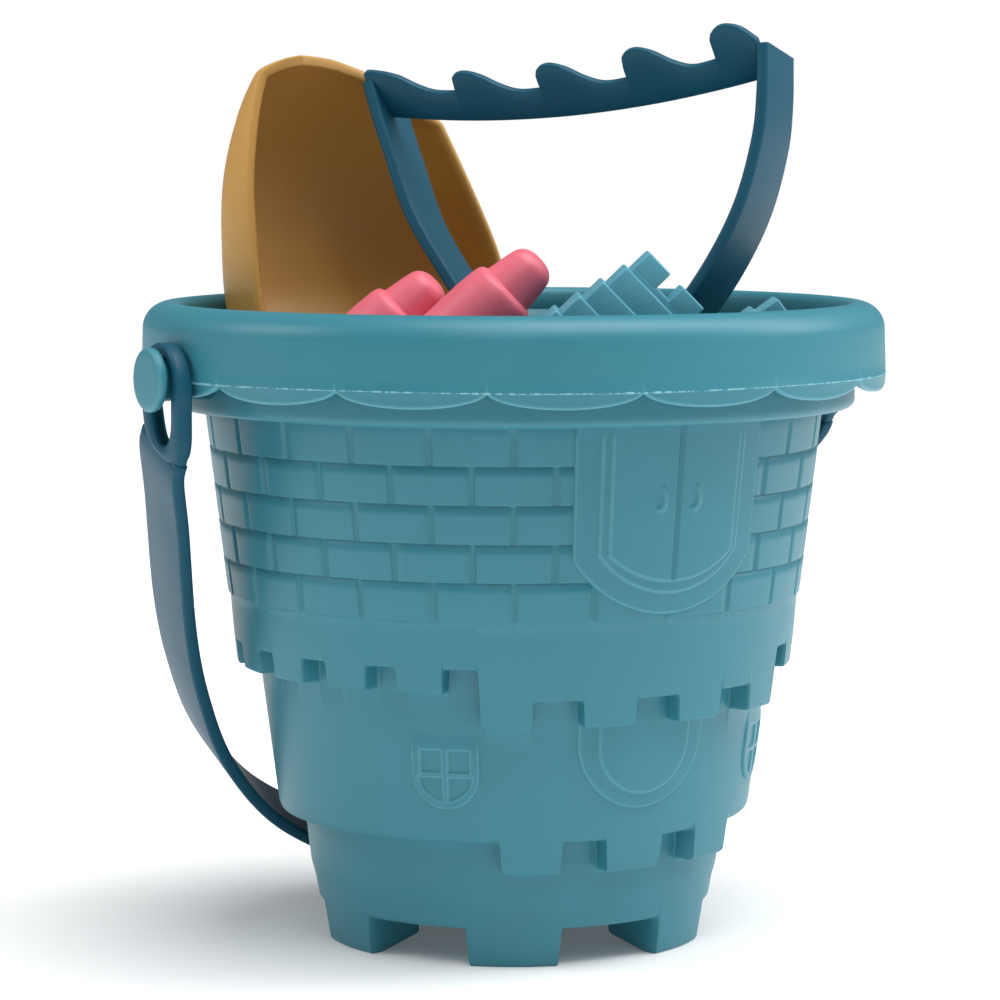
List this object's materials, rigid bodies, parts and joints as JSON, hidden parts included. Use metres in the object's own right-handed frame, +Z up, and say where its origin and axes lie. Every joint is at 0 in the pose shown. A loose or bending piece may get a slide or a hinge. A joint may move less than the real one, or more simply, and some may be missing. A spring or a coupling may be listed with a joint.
{
  "type": "sand bucket",
  "caption": "Castle-shaped sand bucket with a scalloped rim, brick tiers, notched feet and a swinging strap handle, holding a shovel, a rake and sand moulds that lift out.",
  "frame": {"origin": "on the ground under the middle of the bucket, at the bottom centre of the whole object's box", "axes": "+Z up; -Y is the side with the gate; +X runs along the handle's hinge axis"},
  "size_m": [0.207, 0.1904, 0.2329],
  "materials": {
    "teal_plastic": "matt moulded polypropylene with a fine grain",
    "petrol_plastic": "satin moulded plastic, dark petrol blue",
    "ochre_plastic": "matt moulded plastic, mustard ochre",
    "pink_plastic": "satin soft plastic, salmon pink",
    "sky_plastic": "matt moulded plastic, light blue"
  },
  "bodies": {
    "bucket": {"bucket": "teal_plastic"},
    "handle": {"handle": "petrol_plastic"},
    "shovel": {"shovel": "ochre_plastic"},
    "rake": {"rake": "petrol_plastic"},
    "tower_mould_front": {"tower_mould_front": "pink_plastic"},
    "tower_mould_rear": {"tower_mould_rear": "pink_plastic"},
    "castle_mould_front": {"castle_mould_front": "sky_plastic"},
    "castle_mould_rear": {"castle_mould_rear": "sky_plastic"}
  },
  "joints": [
    {"name": "handle_swing", "type": "hinge", "parent": "bucket", "child": "handle", "pos_m": [0, 0, 0.1457], "axis": [1, 0, 0], "range_deg": [0, 309]},
    {"name": "shovel_lift", "type": "slide", "parent": "bucket", "child": "shovel", "axis": [0.0693, 0.1201, 0.9903], "range_m": [0, 0.13]},
    {"name": "rake_lift", "type": "slide", "parent": "bucket", "child": "rake", "axis": [0.1585, 0.1152, 0.9806], "range_m": [0, 0.15]},
    {"name": "tower_front_lift", "type": "slide", "parent": "bucket", "child": "tower_mould_front", "axis": [-0.161, -0.2788, 0.9468], "range_m": [0, 0.12]},
    {"name": "tower_rear_lift", "type": "slide", "parent": "bucket", "child": "tower_mould_rear", "axis": [0, 0, 1], "range_m": [0, 0.12]},
    {"name": "castle_front_lift", "type": "slide", "parent": "bucket", "child": "castle_mould_front", "axis": [0.1285, -0.0742, 0.9889], "range_m": [0, 0.12]},
    {"name": "castle_rear_lift", "type": "slide", "parent": "bucket", "child": "castle_mould_rear", "axis": [0, 0, 1], "range_m": [0, 0.12]}
  ]
}
